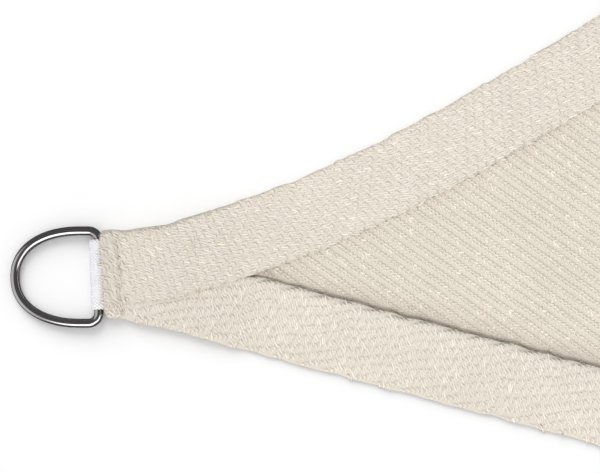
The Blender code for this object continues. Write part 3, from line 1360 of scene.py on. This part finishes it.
def seam_line(corner, row, ends, sink):
    """A line across the corner, just over the groove in the upper hem."""
    across = np.linspace(ends[0], ends[1], 24) * MM
    plan = row + 1j * across
    height = hem_height(True, np.full(plan.shape, row), 0.5) + CLOTH / 2 - sink
    places = at_corner(corner, plan)
    return np.stack([places.real, places.imag, height], 1)


def sew(corner, number, row, ends, sink, **settings):
    points = seam_line(corner, row, ends, sink)
    mesh = bpy.data.meshes.new("seam_line")
    edges = [(i, i + 1) for i in range(len(points) - 1)]
    mesh.from_pydata([tuple(p) for p in points], edges, [])
    line = bpy.data.objects.new("seam_line", mesh)
    bpy.context.scene.collection.objects.link(line)
    name = f"seam_{number}_{corner + 1}"
    settings |= {"Seed": 7 + corner, "Material": thread_material}
    made = run_tree(sewing_tree, line, name, settings)
    bpy.data.objects.remove(line)
    return made


seams = []
for corner in range(CORNERS):
    first = {"Spacing": 4.9 * MM, "Length": 3.9 * MM, "Thickness": 1.0 * MM}
    second = {"Spacing": 4.6 * MM, "Length": 3.8 * MM, "Thickness": 0.8 * MM}
    seams.append(sew(corner, 1, STITCH_ROW, (-16.5, 17.5), SEAT - 0.1 * MM, **first))
    seams.append(sew(corner, 2, SECOND_ROW, (-8, 16), 0.05 * MM, **second))
print("seams:", len(seams))

# %% [markdown]
# ## Thickness, and what each piece rides on
#
# The laid cloth gets its thickness last.  Then every piece is attached to the root body,
# and the solid it stands for in the model is hidden.  The cloth's flat outline and area,
# hems included, are worked out, and each tape's flat length is printed.

# %% Finish the cloth and attach every piece
solidify = cloth.modifiers.new("thickness", "SOLIDIFY")
solidify.thickness = CLOTH
solidify.offset = 0
cloth = settled(cloth, Matrix.Identity(4), "laid_cloth")

flat_outline = np.concatenate([strip[2][:, -1] for strip in EDGES])
flat_area = abs((flat_outline.conj() * np.roll(flat_outline, -1)).imag.sum()) / 2

knit_pieces = hem_floats + face_loops + seams
for piece in [cloth, *knit_pieces]:
    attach(piece, "root")
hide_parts("sail_cloth")
for corner, (tape, floats, length) in enumerate(tapes):
    for piece in (tape, floats):
        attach(piece, "root")
    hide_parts(f"corner_webbing_{corner + 1}")
    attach(rings[corner], "root")
    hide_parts(f"corner_ring_{corner + 1}")
    print("tape", corner + 1, "is", round(length / MM, 1), "mm long")

# %% [markdown]
# ## The studio
#
# The sail lies on a plain white floor under soft light.  A wide sun from the far side
# lights only the floor, a second from the near left lights only the sail, an even sky
# fills the shadows, and the camera looks straight down at one corner.  Polished steel
# shows whatever surrounds it, so the sky seen in reflections has a bright panel on the
# near side and is dark elsewhere.

# %% Floor
floor_material, tree, shader = new_material("white floor", 0.9)
shader.inputs["Base Color"].default_value = (0.95, 0.955, 0.96, 1)
shader.inputs["Specular IOR Level"].default_value = 0.0
SIDE = 40
corners = [(-SIDE, -SIDE, -0.00003), (SIDE, -SIDE, -0.00003)]
corners += [(SIDE, SIDE, -0.00003), (-SIDE, SIDE, -0.00003)]
floor = new_piece("floor", corners, [(0, 1, 2, 3)], floor_material)
floor.visible_glossy = False
floor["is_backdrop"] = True

# %% Sky and sun
world = bpy.data.worlds.new("studio")
bpy.context.scene.world = world
world.use_nodes = True
tree = world.node_tree
way = add(tree, "ShaderNodeTexCoord").outputs["Generated"]


def panel(tree, towards, half_angle, edge, strength):
    """A soft-edged bright patch of sky."""
    aim = Vector(towards).normalized()
    facing = vector_maths(tree, "DOT_PRODUCT", way, tuple(aim))
    low = math.cos(math.radians(half_angle + edge))
    high = math.cos(math.radians(half_angle))
    return maths(tree, "MULTIPLY", map_range(tree, facing, low, high), strength)


NEAR_SIDE = math.radians(-90) + KNIT_TURN


def towards(azimuth, elevation):
    a, e = NEAR_SIDE + math.radians(azimuth), math.radians(elevation)
    return (math.cos(a) * math.cos(e), math.sin(a) * math.cos(e), math.sin(e))


seen = maths(tree, "ADD", panel(tree, towards(0, 42), 14, 16, 2.2), 0.08)
seen = maths(tree, "ADD", seen, panel(tree, towards(-75, 20), 30, 22, 0.55))
seen = maths(tree, "ADD", seen, panel(tree, towards(50, 36), 10, 14, 1.8))
paths = add(tree, "ShaderNodeLightPath").outputs
fill, backdrop = 0.74, 1.0
strength = maths(tree, "MULTIPLY", paths["Is Glossy Ray"], seen)
plain = maths(tree, "SUBTRACT", 1, paths["Is Glossy Ray"])
shade = map_range(tree, paths["Is Camera Ray"], 0, 1, fill, backdrop, "LINEAR")
strength = maths(tree, "MULTIPLY_ADD", plain, shade, strength)
tree.links.new(strength, tree.nodes["Background"].inputs["Strength"])
tree.nodes["Background"].inputs["Color"].default_value = (1, 0.99, 0.985, 1)



def add_sun(name, energy, softness, direction, lit):
    """A sun from a direction, for one set of pieces only."""
    data = bpy.data.lights.new(name, "SUN")
    data.energy = energy
    data.angle = math.radians(softness)
    made = bpy.data.objects.new(name, data)
    made.rotation_euler = Vector(direction).to_track_quat("Z", "Y").to_euler()
    made.visible_glossy = False
    bpy.context.scene.collection.objects.link(made)
    lights_up = bpy.data.collections.new(name + "_lights")
    for piece in lit:
        lights_up.objects.link(piece)
    made.light_linking.receiver_collection = lights_up
    return made


add_sun("floor_sun", 1.78, 42, (-0.25, 1.0, 0.72), [floor])
add_sun("sail_sun", 1.75, 26, (-0.5, -0.9, 1.6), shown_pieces())

# %% Camera
LENS = 85
SENSOR = 36
VIEW_WIDTH = 330 * MM
aim = at_corner(0, (109.1 + 14.4j) * MM)
camera_data = bpy.data.cameras.new("camera")
camera_data.lens = LENS
camera_data.sensor_width = SENSOR
camera_data.clip_end = 200
camera = bpy.data.objects.new("camera", camera_data)
camera.location = (aim.real, aim.imag, VIEW_WIDTH * LENS / SENSOR + 4 * MM)
camera.rotation_euler = (0, 0, KNIT_TURN)
bpy.context.scene.collection.objects.link(camera)
bpy.context.scene.camera = camera
bpy.context.scene.view_settings.view_transform = "Standard"
print("camera over", round(aim.real / MM), round(aim.imag / MM), "mm")

# %% Update the view layer
bpy.context.view_layer.update()
